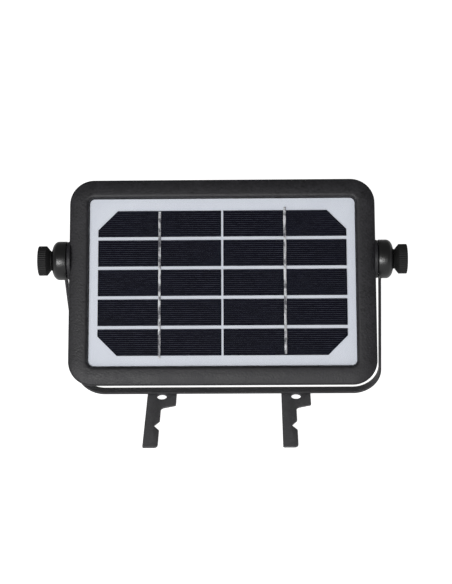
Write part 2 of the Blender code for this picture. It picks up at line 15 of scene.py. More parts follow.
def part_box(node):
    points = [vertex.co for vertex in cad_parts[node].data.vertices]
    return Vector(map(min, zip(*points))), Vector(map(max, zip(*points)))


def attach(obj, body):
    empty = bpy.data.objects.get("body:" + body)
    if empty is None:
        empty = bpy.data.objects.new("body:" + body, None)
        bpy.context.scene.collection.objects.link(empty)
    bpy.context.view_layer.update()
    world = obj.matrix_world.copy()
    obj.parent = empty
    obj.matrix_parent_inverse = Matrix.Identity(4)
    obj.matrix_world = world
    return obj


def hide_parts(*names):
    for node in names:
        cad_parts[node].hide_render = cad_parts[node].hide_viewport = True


MM = 0.001
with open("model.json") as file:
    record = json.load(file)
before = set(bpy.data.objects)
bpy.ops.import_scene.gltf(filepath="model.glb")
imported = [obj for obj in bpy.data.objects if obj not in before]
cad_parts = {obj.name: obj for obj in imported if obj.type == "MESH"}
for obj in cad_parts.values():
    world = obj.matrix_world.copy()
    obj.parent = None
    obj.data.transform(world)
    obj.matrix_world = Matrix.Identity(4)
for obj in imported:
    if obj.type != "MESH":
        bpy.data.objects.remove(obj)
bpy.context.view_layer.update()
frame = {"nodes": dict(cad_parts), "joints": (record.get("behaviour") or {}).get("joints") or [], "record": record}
joints = {joint["name"]: joint for joint in frame["joints"]}

# Frames that the pieces are drawn in
PIVOT = Vector(joints["head_tilt"]["pos_m"])
OUT_OF_FACE = Vector(joints["mode_button_press"]["axis"]).normalized()
ALONG_KNOBS = Vector((1.0, 0.0, 0.0))
UP_FACE = OUT_OF_FACE.cross(ALONG_KNOBS)

# Case, from the tilt axis
HEAD_Y = -15.05
PANEL_Y = -15.0
HEAD_HALF_W, HEAD_HALF_H, HEAD_CORNER = 97.0, 65.8, 15.5
RIM_HALF_W, RIM_HALF_H = 96.5, 62.9
WALL = 2.2
CREST, EDGE_R, CROWN_R, CROWN_TURN = 9.6, 1.6, 26.9, 18.0   # section of the ring
BEZEL_RIM, SHELL_RIM, REAR = -12.6, -13.8, -25.0
RECESS_HALF_W, RECESS_HALF_H, RECESS_CORNER, RECESS_FLOOR = 84.7, 53.95, 3.7, 4.6
STEP_WIDTH, STEP_DEPTH = 2.1, 1.5       # rounded step round the panel
BOSS_R, BOSS_IN, BOSS_OUT = 12.2, 96.3, 98.4
LENS_Y, LENS_HALF_W, LENS_HALF_H, LENS_CORNER = -9.0, 77.7, 44.7, 8.7
GAP = 0.3

# Panel
CELL_W, CELL_H, CELL_BEVEL = 78.0, 16.82, 12.3
CELL_TOP, CELL_ROWS = 6.85, 5
SHEET_TOP, FILM_LOW, FILM_HIGH = 6.3, 7.6, 8.0
FINGERS, FINGER_WIDTH, FINGER_MARGIN = 13, 0.17, 0.7
RIBBON_HALF = 0.85

# Bracket
STRAP_WIDTH, STRAP_THICK = 6.3, 1.5
STRAP_HALF, STRAP_CORNER = 100.65, 17.4
BASE_SHIFT = 2.9                        # the arms lean, so the base stands off the head's middle
EYE_RADIUS = 9.0
PLATE_THICK, PLATE_HEAD, PLATE_NECK, PLATE_FRONT = 1.2, 19.6, 9.8, -62.0
PLATE_HOLE, PLATE_HOLE_Y = 3.25, -5.4

# Knob and cup, by distance from the centre plane
CUP_IN, CUP_OUT, CUP_R, DOME_IN, DOME_R = 98.85, 108.25, 12.35, 103.9, 6.35
KNOB_BASE, KNOB_NECK, KNOB_HEAD, KNOB_END, KNOB_R = 108.55, 109.3, 112.0, 117.4, 9.45
BORE_R, BORE_END = 3.3, 113.1
FRICTION_RING, INSERT, STUD = (98.7, 99.6), (85.7, 96.6), (86.5, 112.8)
FLUTES, FLUTE_DEPTH = 40, 0.32

# Light side
LED_COLUMNS, LED_ROWS, LED_PITCH = 8, 4, (15.5, 12.5)
LED_BOARD_HALF_W, LED_BOARD_HALF_H = 67.0, 29.0
SCREWS = 6

# Studio, in metres and degrees
CAMERA_PLACE = Vector((0.01815, -0.79103, 0.54225))
CAMERA_YAW, CAMERA_PITCH, CAMERA_ROLL, CAMERA_LENS = -1.161, -30.098, -0.918, 88.15
FLOOR_HALF, BACKDROP_R = 8.0, 7.2
FLOOR_GLOW, BACKDROP_GLOW = 0.95, 1.2
SKY_BELOW, SKY_ABOVE = 0.7, 0.2         # strength of the surroundings, low down and overhead
SKY_LOW, SKY_HIGH = -0.3, 0.45          # heights on the unit sphere between which it fades
FRONT_BOX = Vector((-0.45, -1.5, 0.62))
FRONT_BOX_SIZE, FRONT_BOX_POWER = (0.9, 0.45), 20.0


# ---------------------------------------------------------------- placing

def placement(x_axis, y_axis, z_axis, origin):
    turn = Matrix((x_axis, y_axis, z_axis)).transposed().to_4x4()
    return Matrix.Translation(origin) @ turn


HEAD = placement(ALONG_KNOBS, UP_FACE, OUT_OF_FACE, PIVOT)
UPRIGHT = Matrix.Translation((0.0, PIVOT.y, 0.0))


def axis_frame(outward):
    """Frame on the tilt axis with Z outwards and Y up."""
    return placement(Vector((0, outward, 0)), Vector((0, 0, 1)), Vector((outward, 0, 0)), PIVOT)


def middle_in(matrix, node):
    """Centre of a CAD node in one of the drawing frames, in millimetres."""
    low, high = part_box(node)
    return matrix.inverted() @ ((low + high) / 2) / MM


def linked(name, data):
    obj = bpy.data.objects.new(name, data)
    bpy.context.collection.objects.link(obj)
    return obj


def mesh_of(name, bm):
    """Turn a bmesh drawn in millimetres into a mesh in metres."""
    bmesh.ops.recalc_face_normals(bm, faces=bm.faces)
    bmesh.ops.scale(bm, vec=(MM, MM, MM), verts=bm.verts)
    mesh = bpy.data.meshes.new(name)
    bm.to_mesh(mesh)
    bm.free()
    return mesh


def shade(mesh, angle):
    """Shade smooth, but keep edges sharper than an angle in degrees crisp."""
    mesh.shade_smooth()
    mesh.set_sharp_from_angle(angle=radians(angle))


def piece(name, bm, finish, body, matrix, stands_for=(), smooth=35):
    """Make a finished piece that rides on a body and may stand for CAD nodes."""
    mesh = mesh_of(name, bm)
    shade(mesh, smooth)
    mesh.materials.append(finish)
    obj = linked(name, mesh)
    obj.matrix_world = matrix
    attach(obj, body)
    if stands_for:
        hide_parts(*stands_for)
    return obj


def cut(obj, tool_bm, operation='DIFFERENCE', smooth=35):
    """Apply a Boolean with a tool drawn in the object's own frame."""
    tool = linked("tool", mesh_of("tool", tool_bm))
    tool.matrix_world = obj.matrix_world
    modifier = obj.modifiers.new("cut", 'BOOLEAN')
    modifier.object = tool
    modifier.operation = operation
    modifier.solver = 'EXACT'
    apply_modifiers(obj)
    bpy.data.objects.remove(tool)
    shade(obj.data, smooth)


def bevel(obj, width, segments, angle):
    """Round the edges sharper than an angle in degrees."""
    modifier = obj.modifiers.new("edge", 'BEVEL')
    modifier.width = width * MM
    modifier.segments = segments
    modifier.limit_method = 'ANGLE'
    modifier.angle_limit = radians(angle)
    apply_modifiers(obj)
    shade(obj.data, angle)


def apply_modifiers(obj):
    bpy.context.view_layer.update()
    shown = obj.evaluated_get(bpy.context.evaluated_depsgraph_get())
    mesh = bpy.data.meshes.new_from_object(shown)
    obj.modifiers.clear()
    obj.data = mesh


# ---------------------------------------------------------------- drawing

def rounded(half_w, half_h, radius, z, centre=(0.0, HEAD_Y), steps=14):
    """One rounded rectangle, anticlockwise, as a list of points."""
    points = []
    for turn, (sx, sy) in enumerate(((1, 1), (-1, 1), (-1, -1), (1, -1))):
        for step in range(steps + 1):
            angle = (turn + step / steps) * pi / 2
            points.append(Vector((centre[0] + sx * (half_w - radius) + radius * cos(angle),
                                  centre[1] + sy * (half_h - radius) + radius * sin(angle), z)))
    return points


def loft(loops, closed=False, bm=None):
    """Join loops of equal length; a closed loft is a ring, an open one is capped."""
    bm = bm or bmesh.new()
    rings = [[bm.verts.new(point) for point in loop] for loop in loops]
    count = len(rings[0])
    pairs = list(zip(rings, rings[1:]))
    if closed:
        pairs.append((rings[-1], rings[0]))
    else:
        bm.faces.new(rings[0])
        bm.faces.new(rings[-1])
    for low, high in pairs:
        for i in range(count):
            j = (i + 1) % count
            bm.faces.new((low[i], low[j], high[j], high[i]))
    return bm


def turned(profile, segments=64, closed=False, centre=(0.0, 0.0), wave=None, bm=None):
    """Revolve (radius, height) points about Z; wave(angle, z) varies the radius round the rim."""
    loops = []
    for radius, z in profile:
        loop = []
        for i in range(segments):
            angle = 2 * pi * i / segments
            reach = radius - (wave(angle, z) if wave else 0.0)
            loop.append(Vector((centre[0] + reach * cos(angle), centre[1] + reach * sin(angle), z)))
        loops.append(loop)
    return loft(loops, closed, bm)


def block(bm, low, high):
    size = [b - a for a, b in zip(low, high)]
    centre = [(a + b) / 2 for a, b in zip(low, high)]
    bmesh.ops.create_cube(bm, size=1.0, matrix=Matrix.Translation(centre) @ Matrix.Diagonal((*size, 1.0)))


def arc(centre, radius, start, end, steps):
    points = []
    for step in range(steps + 1):
        angle = radians(start + (end - start) * step / steps)
        points.append((centre[0] + radius * cos(angle), centre[1] + radius * sin(angle)))
    return points


def quarter(start, end, steps=6):
    """Points on a quarter ellipse that leaves start along its first axis and meets end along its second."""
    turns = [pi / 2 * i / steps for i in range(steps + 1)]
    return [(start[0] + (end[0] - start[0]) * sin(turn), end[1] + (start[1] - end[1]) * cos(turn))
            for turn in turns]


def smoothed(stations, steps):
    """Catmull-Rom points through tuples of equal length."""
    anchors = [Vector(station) for station in stations]
    anchors = [anchors[0] * 2 - anchors[1]] + anchors + [anchors[-1] * 2 - anchors[-2]]
    points = []
    for a, b, c, d in zip(anchors, anchors[1:], anchors[2:], anchors[3:]):
        for step in range(steps):
            t = step / steps
            points.append(0.5 * (2 * b + (c - a) * t + (2 * a - 5 * b + 4 * c - d) * t ** 2
                                 + (3 * b - 3 * c + d - a) * t ** 3))
    points.append(anchors[-2])
    return points


# ---------------------------------------------------------------- materials

class Nodes:
    """A material's node tree, with its Principled shader and short calls for what the finishes share."""

    def __init__(self, name, colour, roughness, metallic=0.0, **numbers):
        self.material = bpy.data.materials.new(name)
        self.material.use_nodes = True
        self.tree = self.material.node_tree
        self.shader = self.tree.nodes["Principled BSDF"]
        self.set("Base Color", (*colour, 1.0))
        self.set("Roughness", roughness)
        self.set("Metallic", metallic)
        for key, value in numbers.items():
            self.set(key.replace("_", " ").title().replace("Ior", "IOR"), value)
        self.place = self.tree.nodes.new("ShaderNodeTexCoord").outputs["Object"]

    def set(self, socket, value):
        self.shader.inputs[socket].default_value = value

    def link(self, source, target):
        self.tree.links.new(source, target)

    def stretched(self, x, y, z):
        mapping = self.tree.nodes.new("ShaderNodeMapping")
        mapping.inputs["Scale"].default_value = (x, y, z)
        self.link(self.place, mapping.inputs["Vector"])
        return mapping.outputs["Vector"]

    def noise(self, size, detail=3.0, roughness=0.55, place=None):
        """Noise whose features are about size millimetres across."""
        node = self.tree.nodes.new("ShaderNodeTexNoise")
        node.inputs["Scale"].default_value = 1.0 / (size * MM)
        node.inputs["Detail"].default_value = detail
        node.inputs["Roughness"].default_value = roughness
        self.link(place or self.place, node.inputs["Vector"])
        return node.outputs["Fac"]

    def pits(self, size):
        node = self.tree.nodes.new("ShaderNodeTexVoronoi")
        node.inputs["Scale"].default_value = 1.0 / (size * MM)
        self.link(self.place, node.inputs["Vector"])
        return node.outputs["Distance"]

    def ramp(self, value, low, high, low_out=0.0, high_out=1.0):
        node = self.tree.nodes.new("ShaderNodeMapRange")
        for key, number in (("From Min", low), ("From Max", high), ("To Min", low_out), ("To Max", high_out)):
            node.inputs[key].default_value = number
        self.link(value, node.inputs["Value"])
        return node.outputs["Result"]

    def blend(self, value, dark, light):
        node = self.tree.nodes.new("ShaderNodeMix")
        node.data_type = 'RGBA'
        node.inputs["A"].default_value = (*dark, 1.0)
        node.inputs["B"].default_value = (*light, 1.0)
        self.link(value, node.inputs["Factor"])
        return node.outputs["Result"]

    def add(self, first, second, share=1.0):
        node = self.tree.nodes.new("ShaderNodeMath")
        node.operation = 'MULTIPLY_ADD'
        node.inputs[1].default_value = share
        self.link(second, node.inputs[0])
        self.link(first, node.inputs[2])
        return node.outputs["Value"]

    def colour(self, value, dark, light, low=0.35, high=0.65):
        self.link(self.blend(self.ramp(value, low, high), dark, light), self.shader.inputs["Base Color"])

    def rough(self, value, least, most, low=0.3, high=0.7):
        self.link(self.ramp(value, low, high, least, most), self.shader.inputs["Roughness"])

    def bump(self, height, depth):
        node = self.tree.nodes.new("ShaderNodeBump")
        node.inputs["Distance"].default_value = depth * MM
        self.link(height, node.inputs["Height"])
        self.link(node.outputs["Normal"], self.shader.inputs["Normal"])


def moulded(name, dark, light, rough, grain=0.5, depth=0.05, **numbers):
    """Moulded plastic with a spark-eroded grain and a faint mottle."""
    n = Nodes(name, dark, rough[0], **numbers)
    fine = n.noise(grain, 4.0, 0.7)
    broad = n.noise(9.0, 2.0)
    n.colour(n.add(fine, broad, 0.35), dark, light, 0.5, 0.85)
    n.rough(n.add(fine, broad, 0.3), rough[0], rough[1], 0.45, 0.85)
    n.bump(n.add(fine, n.pits(grain * 1.4), 0.6), depth)
    return n.material


def powder_coat(name, dark, light):
    n = Nodes(name, dark, 0.5, specular_ior_level=0.2)
    peel = n.noise(0.9, 3.0, 0.5)
    n.colour(n.add(peel, n.noise(14.0, 2.0), 0.4), dark, light, 0.5, 0.9)
    n.rough(peel, 0.42, 0.56)
    n.bump(peel, 0.03)
    return n.material


def metal(name, dark, light, rough):
    n = Nodes(name, dark, rough, 1.0)
    grain = n.noise(0.25, 4.0, 0.6)
    n.colour(grain, dark, light)
    n.rough(n.noise(2.5, 3.0), rough - 0.06, rough + 0.1)
    n.bump(grain, 0.008)
    return n.material


def rubber(name, dark, light):
    n = Nodes(name, dark, 0.75)
    grain = n.noise(0.35, 4.0, 0.6)
    n.colour(n.add(grain, n.noise(5.0), 0.3), dark, light, 0.45, 0.8)
    n.rough(grain, 0.66, 0.86)
    n.bump(grain, 0.03)
    return n.material


def laminate():
    """Cool white backing sheet with the faint weave of its reinforcement."""
    n = Nodes("backsheet", (0.84, 0.88, 0.97), 0.4, specular_ior_level=0.3)
    weave = n.noise(0.5, 2.0, 0.5)
    n.colour(n.add(weave, n.noise(22.0, 2.0), 0.8), (0.8, 0.84, 0.93), (0.88, 0.92, 1.0), 0.6, 1.2)
    n.rough(weave, 0.34, 0.46)
    n.bump(weave, 0.01)
    return n.material


def silicon():
    n = Nodes("solar_cell", (0.003, 0.003, 0.008), 0.35, specular_ior_level=0.05)
    grain = n.noise(0.3, 4.0, 0.7)
    cloud = n.add(grain, n.noise(14.0, 2.0), 0.5)
    n.colour(cloud, (0.0014, 0.0016, 0.005), (0.003, 0.0034, 0.0105), 0.5, 1.0)
    n.rough(grain, 0.3, 0.45)
    n.bump(grain, 0.004)
    return n.material


def solder():
    """Tinned ribbon, its colour blotched light and dark by a stretched noise."""
    n = Nodes("tinned_copper", (0.6, 0.6, 0.62), 0.3, 0.35)
    blotch = n.noise(2.6, 4.0, 0.65, n.stretched(1.0, 0.5, 1.0))
    n.colour(blotch, (0.15, 0.15, 0.17), (0.84, 0.85, 0.88), 0.43, 0.58)
    n.rough(blotch, 0.28, 0.5)
    n.bump(n.add(blotch, n.noise(0.4), 0.4), 0.08)
    return n.material


def silver_print():
    n = Nodes("silver_print", (0.06, 0.063, 0.085), 0.5, specular_ior_level=0.1)
    grain = n.noise(1.2, 3.0, 0.6, n.stretched(0.3, 1.0, 1.0))
    n.colour(grain, (0.024, 0.026, 0.038), (0.07, 0.075, 0.105), 0.35, 0.65)
    n.rough(grain, 0.42, 0.6)
    n.bump(grain, 0.003)
    return n.material


def clear(name, tint, roughness, alpha=1.0, transmission=1.0):
    n = Nodes(name, tint, roughness, transmission_weight=transmission, ior=1.49, alpha=alpha)
    smear = n.noise(16.0, 3.0)
    n.rough(smear, roughness, roughness + 0.05)
    n.bump(smear, 0.002)
    return n.material


def gloss_white(name, dark, light, rough):
    n = Nodes(name, light, rough)
    flow = n.noise(7.0, 3.0)
    n.colour(flow, dark, light)
    n.rough(flow, rough, rough + 0.1)
    n.bump(n.noise(0.8), 0.006)
    return n.material


def board(name, dark, light, trace):
    """Solder mask over copper traces laid on a fine grid."""
    n = Nodes(name, light, 0.4)
    lanes = n.noise(2.2, 0.0, 0.5, n.stretched(0.22, 1.0, 1.0))
    mask = n.noise(0.6, 3.0)
    lanes = n.ramp(lanes, 0.55, 0.58)
    base = n.blend(n.ramp(mask, 0.3, 0.7), dark, light)
    node = n.tree.nodes.new("ShaderNodeMix")
    node.data_type = 'RGBA'
    node.inputs["B"].default_value = (*trace, 1.0)
    n.link(lanes, node.inputs["Factor"])
    n.link(base, node.inputs["A"])
    n.link(node.outputs["Result"], n.shader.inputs["Base Color"])
    n.rough(mask, 0.3, 0.45)
    n.bump(n.add(lanes, mask, 0.1), 0.03)
    return n.material


def sleeve():
    n = Nodes("battery_sleeve", (0.02, 0.11, 0.34), 0.25)
    wrap = n.noise(5.0, 3.0, 0.5, n.stretched(0.4, 1.0, 1.0))
    n.colour(wrap, (0.016, 0.09, 0.29), (0.024, 0.13, 0.39))
    n.rough(wrap, 0.2, 0.34)
    n.bump(wrap, 0.05)
    return n.material


FINISH = {
    "case_plastic": moulded("case_plastic", (0.001, 0.001, 0.002), (0.0165, 0.0155, 0.0195), (0.42, 0.66),
                            grain=1.0, depth=0.14),
    "clamp_plastic": moulded("clamp_plastic", (0.001, 0.001, 0.0012), (0.003, 0.003, 0.0034), (0.26, 0.38),
                             depth=0.04, specular_ior_level=0.6),
    "knob_plastic": moulded("knob_plastic", (0.004, 0.004, 0.004), (0.01, 0.01, 0.01), (0.5, 0.66),
                            grain=0.4, depth=0.04, specular_ior_level=0.28),
    "holder_plastic": moulded("holder_plastic", (0.016, 0.016, 0.017), (0.03, 0.03, 0.032), (0.4, 0.55)),
    "strap_paint": powder_coat("strap_paint", (0.035, 0.035, 0.037), (0.06, 0.059, 0.062)),
    "bright_steel": metal("bright_steel", (0.42, 0.42, 0.43), (0.62, 0.62, 0.63), 0.32),
    "brass": metal("brass", (0.6, 0.42, 0.17), (0.82, 0.61, 0.28), 0.3),
    "black_rubber": rubber("black_rubber", (0.01, 0.01, 0.01), (0.02, 0.02, 0.021)),
    "button_rubber": rubber("button_rubber", (0.02, 0.02, 0.021), (0.036, 0.036, 0.038)),
    "backsheet": laminate(),
    "panel_film": clear("panel_film", (0.02, 0.021, 0.024), 0.12, alpha=0.06, transmission=0.0),
    "tinned_copper": solder(),
    "solar_cell": silicon(),
    "led_board": gloss_white("led_board", (0.72, 0.72, 0.7), (0.82, 0.82, 0.8), 0.4),
    "white_reflector": gloss_white("white_reflector", (0.78, 0.78, 0.78), (0.86, 0.86, 0.86), 0.2),
    "lens_clear": clear("lens_clear", (0.97, 0.985, 0.99), 0.02),
    "circuit_board": board("circuit_board", (0.008, 0.09, 0.035), (0.014, 0.13, 0.055), (0.03, 0.2, 0.08)),
    "battery_sleeve": sleeve(),
    "lead_red": rubber("lead_red", (0.5, 0.02, 0.015), (0.64, 0.035, 0.025)),
    "lead_black": rubber("lead_black", (0.012, 0.012, 0.012), (0.024, 0.024, 0.024)),
}
# The strap's paint in a lighter copy for the foot plates: painted light standing in for the light on their upward
# faces
PAINTED_LIGHT_PLATE_PAINT = powder_coat("plate_paint_painted_light", (0.075, 0.074, 0.078), (0.11, 0.109, 0.114))
SILVER_PRINT = silver_print()
PHOSPHOR = moulded("led_phosphor", (0.78, 0.6, 0.12), (0.86, 0.7, 0.2), (0.3, 0.4), grain=0.3, depth=0.01)


def finish_cad_nodes():
    """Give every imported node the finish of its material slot."""
    for sub in frame["record"]["subparts"]:
        mesh = frame["nodes"][sub["node"]].data
        mesh.materials.clear()
        mesh.materials.append(FINISH[sub["material_slot"]])


# ---------------------------------------------------------------- case

def ring_section():
    """Edge round and shallow crown of the bezel's ring, as (inset, height) points."""
    crown = radians(CROWN_TURN)
    shoulder = CREST - EDGE_R * cos(crown) - CROWN_R * (1 - cos(crown))
    turns = [(pi / 2 - crown) * i / 7 for i in range(8)]
    points = [(EDGE_R * (1 - cos(turn)), shoulder + EDGE_R * sin(turn)) for turn in turns]
    for i in range(7, -1, -1):
        turn = crown * i / 8
        points.append((EDGE_R * (1 - sin(crown)) + CROWN_R * (sin(crown) - sin(turn)),
                       CREST - CROWN_R * (1 - cos(turn))))
    return points


def build_bezel():
    """Front case half: up the inside, round the rim, over the ring and down the step to the panel."""
    panel = (0.0, PANEL_Y)
    # Inside, from under the panel out to the parting line
    loops = [rounded(86.6, 55.9, 6.0, 2.8, panel), rounded(86.9, 56.2, 6.2, 6.6, panel),
             rounded(90.0, 58.6, 9.0, 7.0), rounded(93.2, 61.8, 12.0, 5.0), rounded(94.9, 63.4, 13.2, 1.5),
             rounded(RIM_HALF_W - WALL, RIM_HALF_H - WALL, HEAD_CORNER - WALL, BEZEL_RIM),
             # Parting line, broken at its outer edge
             rounded(RIM_HALF_W - 0.3, RIM_HALF_H - 0.3, HEAD_CORNER - 0.3, BEZEL_RIM),
             rounded(RIM_HALF_W, RIM_HALF_H, HEAD_CORNER, BEZEL_RIM + 0.3)]
    for inset, height in ring_section():
        loops.append(rounded(HEAD_HALF_W - inset, HEAD_HALF_H - inset, HEAD_CORNER - inset * 0.9, height))
    for out, height in quarter((STEP_WIDTH, CREST), (0.0, CREST - STEP_DEPTH), 6):
        loops.append(rounded(RECESS_HALF_W + out, RECESS_HALF_H + out, RECESS_CORNER + out, height, panel))
    loops.append(rounded(RECESS_HALF_W, RECESS_HALF_H, RECESS_CORNER, RECESS_FLOOR, panel))
    bezel = piece("bezel", loft(loops), FINISH["case_plastic"], "head", HEAD,
                  ["solar_bezel"], 40)
    for side in (-1, 1):
        boss = turned([(BOSS_R, BOSS_IN), (BOSS_R, BOSS_OUT - 0.35), (BOSS_R - 0.35, BOSS_OUT),
                       (4.7, BOSS_OUT), (4.7, BOSS_IN)], 96, closed=True)
        turn = Matrix.Rotation(side * pi / 2, 4, 'Y')
        bmesh.ops.transform(boss, matrix=turn, verts=boss.verts)
        cut(bezel, boss, 'UNION', 40)


def shell_profile():
    """Outline insets (across, up, corner) by height, from the parting line to the rear face."""
    return smoothed([(0.0, 0.0, SHELL_RIM), (0.5, 0.8, -17.0), (1.7, 2.2, -20.0), (3.6, 4.0, -22.8),
                     (5.8, 6.0, -24.4), (8.0, 8.0, REAR)], 3)


def build_shell():
    """Rear case half: one closed ring round the window, with the wells cut in afterwards."""
    lens = (0.0, LENS_Y)
    lens_w, lens_h, lens_r = LENS_HALF_W + GAP, LENS_HALF_H + GAP, LENS_CORNER + GAP
    # Inside, from the parting line to the rear wall
    loops = [rounded(RIM_HALF_W - WALL - w, RIM_HALF_H - WALL - h, HEAD_CORNER - WALL - h, z)
             for w, h, z in ((0.0, 0.0, SHELL_RIM), (0.5, 0.8, -16.6), (1.7, 2.2, -19.2),
                             (3.6, 4.0, -21.4), (5.8, 6.0, REAR + WALL))]
    # Collar, ledge and mouth of the window's opening
    loops += [rounded(lens_w + out, lens_h + out, lens_r + out, z, lens)
              for out, z in ((WALL, REAR + WALL), (WALL, -19.2), (-4.0, -19.2), (-4.0, -21.2), (0.0, -21.2),
                             (0.0, REAR + 0.5), (0.5, REAR))]
    # Outside, back to the parting line
    loops += [rounded(RIM_HALF_W - w, RIM_HALF_H - h, HEAD_CORNER - h, z)
              for w, h, z in reversed(shell_profile())]
    shell = piece("rear_shell", loft(loops, closed=True), FINISH["case_plastic"], "head", HEAD,
                  ["lamp_shell"], 40)
    holes = bmesh.new()
    for number in range(1, SCREWS + 1):
        spot = middle_in(HEAD, f"case_screw_{number}")
        well = [(1.8, -18.0), (1.8, -22.6), (3.1, -22.6), (3.1, -24.6), (3.6, -26.0)]
        turned(well, 40, centre=spot, bm=holes)
    turned([(4.3, -21.0), (4.3, -24.7), (5.0, -26.0)], 48, centre=middle_in(HEAD, "mode_button"), bm=holes)
    turned([(1.6, -21.0), (1.6, -26.0)], 24, centre=middle_in(HEAD, "light_pipe"), bm=holes)
    port = middle_in(HEAD, "usb_socket")
    well = [rounded(w, h, r, z, port, 6) for w, h, r, z in (
        (4.8, 1.95, 1.6, -21.0), (4.8, 1.95, 1.6, -23.4), (6.5, 4.2, 1.0, -23.4), (6.5, 4.2, 1.0, -26.0))]
    loft(well, bm=holes)
    cut(shell, holes, smooth=40)


def build_seals():
    high, low = BEZEL_RIM - GAP, SHELL_RIM + GAP
    ring = [rounded(RIM_HALF_W - d, RIM_HALF_H - d, HEAD_CORNER - d, z)
            for d, z in ((0.6, high), (1.9, high), (1.9, low), (0.6, low), (0.5, (high + low) / 2))]
    piece("case_seal", loft(ring, closed=True), FINISH["black_rubber"], "head", HEAD,
          ["shell_gasket"])
    ring = [rounded(LENS_HALF_W - d, LENS_HALF_H - d, LENS_CORNER - d, z, (0.0, LENS_Y))
            for d, z in ((0.2, -21.5), (3.4, -21.5), (3.4, -22.3), (0.2, -22.3))]
    piece("window_seal", loft(ring, closed=True), FINISH["black_rubber"], "head", HEAD,
          ["lens_gasket"])


def build_screws():
    """Pan heads with a cross recess, sunk in the rear shell, each turned its own way."""
    corners = ((1, 1), (-1, 1), (-1, -1), (1, -1))
    for number in range(1, SCREWS + 1):
        spot = middle_in(HEAD, f"case_screw_{number}")
        head = [(0.15, -24.7), (1.2, -24.66)] + quarter((1.2, -24.66), (2.7, -23.7), 5)[1:]
        shank = [(2.7, -22.9), (1.4, -22.9), (1.4, -8.6), (0.5, -7.4)]
        screw = piece(f"screw_{number}", turned(head + shank, 40, centre=spot), FINISH["bright_steel"],
                      "head", HEAD, [f"case_screw_{number}"], 40)
        turn = Matrix.Translation((spot.x, spot.y, 0.0)) @ Matrix.Rotation(0.7 * number, 4, 'Z')
        for long_x, long_y in ((1.45, 0.28), (0.28, 1.45)):
            slot = loft([[Vector((sx * long_x * taper, sy * long_y * taper, z)) for sx, sy in corners]
                         for taper, z in ((1.0, -25.2), (0.75, -23.6))])
            bmesh.ops.transform(slot, matrix=turn, verts=slot.verts)
            cut(screw, slot, smooth=40)


# ---------------------------------------------------------------- panel

def cell_reach(column, row, y):
    """How far left and right of a cell's middle its silicon reaches at height y."""
    reach = {-1: CELL_W / 2, 1: CELL_W / 2}
    corner = {0: 1, CELL_ROWS - 1: -1}.get(row)
    if corner:
        reach[column] -= max(0.0, CELL_BEVEL - (CELL_H / 2 - corner * y))
    return reach[-1], reach[1]


def build_fingers():
    """Printed silver fingers across each cell, as thin raised lines."""
    for side, column in (("left", -1), ("right", 1)):
        lines = bmesh.new()
        for row in range(CELL_ROWS):
            middle = middle_in(HEAD, f"cell_{side}_{row + 1}")
            for i in range(FINGERS):
                y = (i - (FINGERS - 1) / 2) * CELL_H / FINGERS
                left, right = cell_reach(column, row, y)
                x_low, x_high = middle.x - left + FINGER_MARGIN, middle.x + right - FINGER_MARGIN
                block(lines, (x_low, middle.y + y - FINGER_WIDTH / 2, CELL_TOP - 0.02),
                      (x_high, middle.y + y + FINGER_WIDTH / 2, CELL_TOP + 0.03))
        piece(f"cell_fingers_{side}", lines, SILVER_PRINT, "head", HEAD)


def build_ribbons():
    """Soldered ribbons: slightly wavy, with a crowned top that swells where the solder pooled."""
    rim = ((-1.0, 0.0), (1.0, 0.0), (1.0, 0.3), (0.75, 0.8),
           (0.3, 1.0), (-0.3, 1.0), (-0.75, 0.8), (-1.0, 0.3))
    top = CELL_TOP + GAP
    steps = 110
    inside = HEAD.inverted()
    for side, seed in (("left", 3.0), ("right", 11.0)):
        low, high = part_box(f"cell_ribbon_{side}")
        ends = sorted((inside @ corner).y / MM for corner in (low, high))
        x = middle_in(HEAD, f"cell_ribbon_{side}").x
        loops = []
        for i in range(steps + 1):
            y = ends[0] + (ends[1] - ends[0]) * i / steps
            drift = 0.12 * noise.noise(Vector((seed, y * 0.07, 0.0)))
            swell = 0.16 + 0.1 * max(0.0, noise.noise(Vector((seed, y * 0.25, 4.0))))
            half = RIBBON_HALF * (0.93 + 0.12 * noise.noise(Vector((seed, y * 0.3, 9.0))))
            loops.append([Vector((x + drift + half * u, y, top + swell * v)) for u, v in rim])
        piece(f"ribbon_{side}", loft(loops), FINISH["tinned_copper"], "head", HEAD,
              [f"cell_ribbon_{side}"], 50)


def build_panel():
    """Backing sheet and front film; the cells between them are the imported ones."""
    panel = (0.0, PANEL_Y)
    sheet = [rounded(RECESS_HALF_W - 0.4 - d, RECESS_HALF_H - 0.4 - d, 3.3 - d, z, panel, 8)
             for d, z in ((0.0, RECESS_FLOOR + GAP), (0.0, SHEET_TOP - 0.1), (0.1, SHEET_TOP))]
    piece("backing_sheet", loft(sheet), FINISH["backsheet"], "head", HEAD, ["panel_backsheet"])
    film = [rounded(RECESS_HALF_W - 0.5 - d, RECESS_HALF_H - 0.5 - d, 3.2 - d, z, panel, 8)
            for d, z in ((0.0, FILM_LOW), (0.0, FILM_HIGH - 0.1), (0.1, FILM_HIGH))]
    piece("front_film", loft(film), FINISH["panel_film"], "head", HEAD, ["panel_cover"])
    build_fingers()
    build_ribbons()


# ---------------------------------------------------------------- light side

